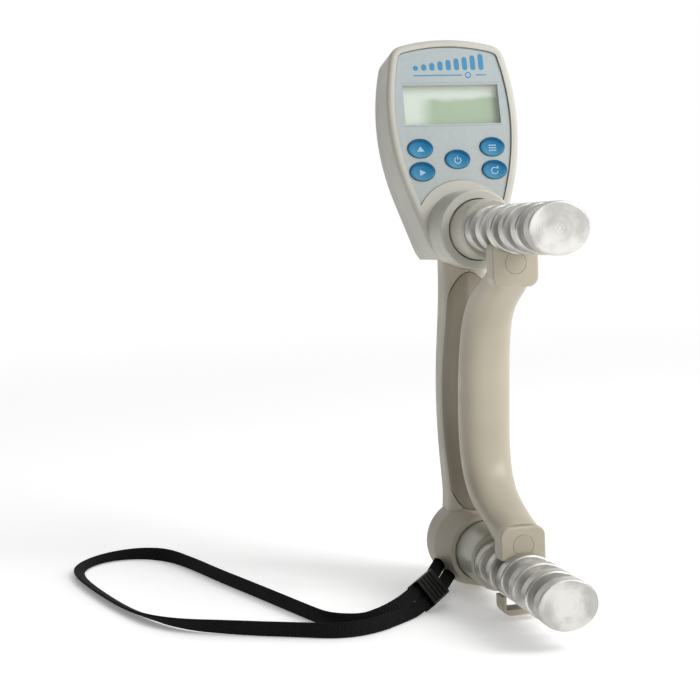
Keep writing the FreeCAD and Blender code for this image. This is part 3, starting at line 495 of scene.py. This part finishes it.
def board_material():
    """Green solder mask with faint tracks."""
    shader = Shader("solder_mask")
    tracks = shader.spread(shader.noise(260, 1), 0.49, 0.51, 0, 1)
    shader.set(Base_Color=shader.mix(tracks, srgb(14, 86, 48), srgb(22, 108, 62)), Roughness=0.35)
    shader.bump(tracks, 0.3, 0.00004)
    return shader.material


def printed_can(name, colour, band, upper):
    """A dry cell's wrap: two colours that meet at a printed edge."""
    shader = Shader(name)
    _, up = face_places(shader)
    edge = shader.spread(up, upper - 0.2, upper + 0.2, 0, 1)
    shade = shader.mix(edge, colour, band)
    scuff = shader.spread(shader.noise(240, 4), 0.45, 0.7, 0, 0.18)
    shader.set(Base_Color=shader.mix(scuff, shade, srgb(150, 150, 150)), Metallic=0.35,
               Roughness=0.34)
    shader.bump(shader.noise(700, 2), 0.15, 0.00004)
    return shader.material


WARM_GREY = srgb(192, 190, 180)
KEYS = {"key_upper_left": (-15.9, 35.3), "key_lower_left": (-15.9, 25.4), "key_power": (0, 30.3),
        "key_upper_right": (15.9, 35.3), "key_lower_right": (15.9, 25.4)}

head_plastic = plastic("head_plastic", WARM_GREY, 0.46)
back_plastic = plastic("back_plastic", srgb(190, 188, 178), 0.52, 0.0001, 1800)
bush_plastic = plastic("bush_plastic", srgb(186, 184, 171), 0.36, 0.00001, 1200, 0.2)
grip_plastic = plastic("grip_plastic", srgb(184, 176, 160), 0.50, 0.0001, 2000)
insert_plastic = plastic("insert_plastic", srgb(142, 134, 118), 0.44, 0.00008, 2200)
handle_plastic = plastic("handle_plastic", srgb(181, 173, 154), 0.38, 0.00007, 2200)
cap_plastic = plastic("cap_plastic", srgb(178, 169, 150), 0.46, 0.00007, 2200)
slider_plastic = plastic("slider_plastic", srgb(15, 15, 15), 0.45, 0.0001, 1800)
chip_plastic = plastic("chip_plastic", srgb(30, 30, 32), 0.5, 0.0001, 1800)
mat_rubber = plastic("mat_rubber", srgb(150, 152, 156), 0.6, 0.0001, 1500)
gauge_film = plastic("gauge_film", srgb(190, 140, 60), 0.35, 0.00005, 1500)
steel = turned_metal("plated_steel", srgb(176, 176, 178), 0.30, 0.0, 1500)

LOOKS = {
    "head_front_housing": head_plastic, "head_rear_housing": back_plastic,
    "battery_door": plastic("door_plastic", srgb(184, 182, 172), 0.5, 0.0001, 1800),
    "faceplate": overlay_material(), "lcd_window": glass_material(), "lcd_cell": display_material(),
    "keypad_mat": mat_rubber, "main_board": board_material(), "board_chip": chip_plastic,
    "upper_bush": bush_plastic, "lower_bush": bush_plastic,
    "grip_left_shell": grip_plastic, "grip_right_shell": grip_plastic,
    "grip_front_insert": insert_plastic, "handle": handle_plastic,
    "handle_upper_cap": cap_plastic, "handle_lower_cap": cap_plastic,
    "strap_slider": slider_plastic, "strain_gauge": gauge_film,
    "battery_left": printed_can("cell_left", srgb(40, 44, 48), srgb(196, 150, 60), 56.0),
    "battery_right": printed_can("cell_right", srgb(40, 44, 48), srgb(196, 150, 60), 38.0),
    "load_beam": turned_metal("milled_bar", srgb(196, 197, 199), 0.35, 0.0, 1100),
}
for name, axis_height in (("lower_post", POST_LOW), ("upper_post", POST_HIGH)):
    LOOKS[name] = turned_metal(name + "_metal", srgb(224, 222, 217), 0.46, axis_height, 1700)
for name in ("head_screws", "grip_screws", "upper_post_screw", "lower_post_screw",
             "battery_contacts", "strap_pin"):
    LOOKS[name] = steel
for name, (middle_x, middle_up) in KEYS.items():
    LOOKS[name] = key_material(name + "_blue", middle_x, middle_up)
for name, material in LOOKS.items():
    for material_slot in NODES[name].material_slots:
        material_slot.material = material
strap_band.data.materials.append(weave_material("strap_weave", srgb(2, 2, 3), srgb(40, 39, 40)))

# --------------------------------------------------------- printed details


def print_piece(name, outlines, body, look, height):
    """Thin printed shapes on the display face, at a height that may vary with place."""
    mesh = bpy.data.meshes.new(name)
    work = bmesh.new()
    for outline in outlines:
        corners = [work.verts.new(FACE @ Vector((x * MM, y * MM, height(x, y) * MM)))
                   for x, y in outline]
        work.faces.new(corners)
    bmesh.ops.triangulate(work, faces=work.faces)
    work.to_mesh(mesh)
    work.free()
    piece = bpy.data.objects.new(name, mesh)
    bpy.context.scene.collection.objects.link(piece)
    mesh.materials.append(look)
    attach(piece, body)


def bar(x, y, width, height):
    """A bar with rounded ends, standing or lying, from its middle."""
    round_radius = min(width, height) / 2
    points = []
    for corner, (sx, sy) in enumerate(((1, 1), (-1, 1), (-1, -1), (1, -1))):
        for step in range(5):
            angle = math.pi / 2 * (corner + step / 4)
            points.append((x + sx * (width / 2 - round_radius) + round_radius * math.cos(angle),
                           y + sy * (height / 2 - round_radius) + round_radius * math.sin(angle)))
    return points


RING_STEPS = 20


def ring(x, y, inner, width, start=0.0, end=math.tau):
    """A ring, or part of one, as short four-cornered pieces."""
    outer = inner + width
    pieces = []
    for step in range(RING_STEPS):
        a, b = (start + (end - start) * (step + k) / RING_STEPS for k in (0, 1))
        pieces.append([(x + r * math.cos(t), y + r * math.sin(t))
                       for r, t in ((inner, a), (outer, a), (outer, b), (inner, b))])
    return pieces


PRINT_HEIGHT = 0.03


def flat(x, y):
    """The same height everywhere, just above the faceplate."""
    return PRINT_HEIGHT


print_blue = plastic("print_blue", srgb(40, 128, 170), 0.45)
print_pale = plastic("print_pale", srgb(150, 190, 214), 0.5)
print_grey = plastic("print_grey", srgb(150, 158, 164), 0.5)

# The emblem's row of rising bars, in millimetres on the face: where the middle of the
# first one and the foot of them all are, and how much taller each is than the last.
BAR_COUNT = 9
BAR_LEFT = -14.6
BAR_FOOT = 69.0
BAR_PITCH = 3.65
BAR_WIDTH = 2.3
BAR_SHORTEST = 2.2
BAR_RISE = 0.62

gauge_bars = []
for number in range(BAR_COUNT):
    tall = BAR_SHORTEST + BAR_RISE * number
    gauge_bars.append(bar(BAR_LEFT + BAR_PITCH * number, BAR_FOOT + tall / 2, BAR_WIDTH, tall))
print_piece("gauge_emblem", gauge_bars, "frame", print_blue, flat)
print_piece("emblem_line", [bar(-5.0, 66.9, 21.6, 0.5), bar(14.2, 66.9, 4.8, 0.5),
                            *ring(8.4, 66.9, 0.9, 0.5)], "frame", print_blue, flat)
print_piece("display_border", [bar(0, 63.6, 44.0, 0.28), bar(0, 44.9, 44.0, 0.28)],
            "frame", print_grey, flat)


# Printing on the dished top of a key, in millimetres: its height at the key's middle,
# the radius of the dish, and how far down the key the symbol is moved.
DISH_HEIGHT = 0.24
DISH_RADIUS = 18
ICON_DOWN = 0.5


def key_icon(name, icon):
    """A small symbol printed in the dished top of a key."""
    middle_x, middle_up = KEYS[name]

    def dish(x, y):
        from_middle = (x - middle_x) ** 2 + (y - middle_up) ** 2
        return DISH_HEIGHT + from_middle / (2 * DISH_RADIUS)

    moved = [[(x + middle_x, y + middle_up - ICON_DOWN) for x, y in outline]
             for outline in icon]
    print_piece(name + "_icon", moved, name, print_pale, dish)


key_icon("key_power", [*ring(0, 0, 1.15, 0.4, math.radians(125), math.radians(415)),
                       bar(0, 1.1, 0.42, 1.7)])
key_icon("key_upper_left", [[(-1.6, -0.9), (1.6, -0.9), (0, 1.4)]])
key_icon("key_lower_left", [[(-1.2, -1.3), (1.5, 0), (-1.2, 1.3)]])
key_icon("key_upper_right", [bar(0, y, 3.4, 0.5) for y in (-1.1, 0, 1.1)])
key_icon("key_lower_right", [*ring(0, 0, 1.2, 0.42, math.radians(60), math.radians(360)),
                             [(0.7, 0.9), (2.1, 0.9), (1.3, 2.2)]])

# ------------------------------------------------------- floor and light


# Distances from the middle, in metres, between which the floor fades into the white
# surroundings, and how much it glows before that.
FADE_START = 0.35
FADE_END = 1.5
FLOOR_GLOW = 0.22


def add_floor():
    """A wide pale floor that has no visible far edge."""
    mesh = bpy.data.meshes.new("floor")
    half = 6.0
    mesh.from_pydata([(-half, -half, 0), (half, -half, 0), (half, half, 0), (-half, half, 0)],
                     [], [(0, 1, 2, 3)])
    floor = bpy.data.objects.new("floor", mesh)
    bpy.context.scene.collection.objects.link(floor)
    shader = Shader("floor_paper")
    away = shader.vector("LENGTH", shader.place)
    far = shader.spread(away, FADE_START, FADE_END, 0, 1)
    paper = shader.mix(shader.noise(3, 2), srgb(250, 250, 250), srgb(246, 246, 246))
    shader.set(Base_Color=shader.mix(far, paper, (0, 0, 0, 1)), Roughness=0.9,
               Specular_IOR_Level=0.0, Emission_Color=(1, 1, 1, 1),
               Emission_Strength=shader.spread(away, FADE_START, FADE_END, FLOOR_GLOW, 1.0))
    mesh.materials.append(shader.material)


def add_light(name, place, target, size, watts):
    """A rectangular soft light that looks at a target."""
    data = bpy.data.lights.new(name, "AREA")
    data.shape = "RECTANGLE"
    data.size, data.size_y = size
    data.energy = watts
    lamp = bpy.data.objects.new(name, data)
    bpy.context.scene.collection.objects.link(lamp)
    lamp.location = place
    lamp.rotation_euler = (Vector(target) - Vector(place)).to_track_quat("-Z", "Y").to_euler()


# The direction that the surroundings are bright in, and how they dim away from it: the
# two dot products with it between which the brightness changes, then the brightness at each.
SKY_BRIGHT_SIDE = (0.9, 0.44, 0)
SKY_DIM = (-0.85, 0.42, 0.03, 1.0)


def add_world():
    """Surroundings that light the left front less, and that look white to the camera."""
    world = bpy.data.worlds.new("studio")
    world.use_nodes = True
    tree = world.node_tree
    back = tree.nodes["Background"]
    place = tree.nodes.new("ShaderNodeTexCoord")
    towards = tree.nodes.new("ShaderNodeVectorMath")
    towards.operation = "DOT_PRODUCT"
    towards.inputs[1].default_value = SKY_BRIGHT_SIDE
    tree.links.new(place.outputs["Generated"], towards.inputs[0])
    dim = tree.nodes.new("ShaderNodeMapRange")
    dim.interpolation_type = "SMOOTHSTEP"
    for socket, value in zip(dim.inputs[1:5], SKY_DIM):
        socket.default_value = value
    tree.links.new(towards.outputs["Value"], dim.inputs[0])
    seen = tree.nodes.new("ShaderNodeLightPath").outputs["Is Camera Ray"]
    bright = tree.nodes.new("ShaderNodeMath")
    bright.operation = "MAXIMUM"
    tree.links.new(seen, bright.inputs[0])
    tree.links.new(dim.outputs[0], bright.inputs[1])
    tree.links.new(bright.outputs[0], back.inputs["Strength"])
    back.inputs["Color"].default_value = (1, 1, 1, 1)
    bpy.context.scene.world = world


MIDDLE = (0, 0, 0.12)
add_floor()
add_world()
add_light("key", (0.85, -0.80, 0.95), MIDDLE, (0.6, 0.8), 12.5)
add_light("front", (-0.15, -1.3, 0.45), MIDDLE, (0.6, 0.5), 1.0)
bpy.context.scene.view_settings.view_transform = "Standard"
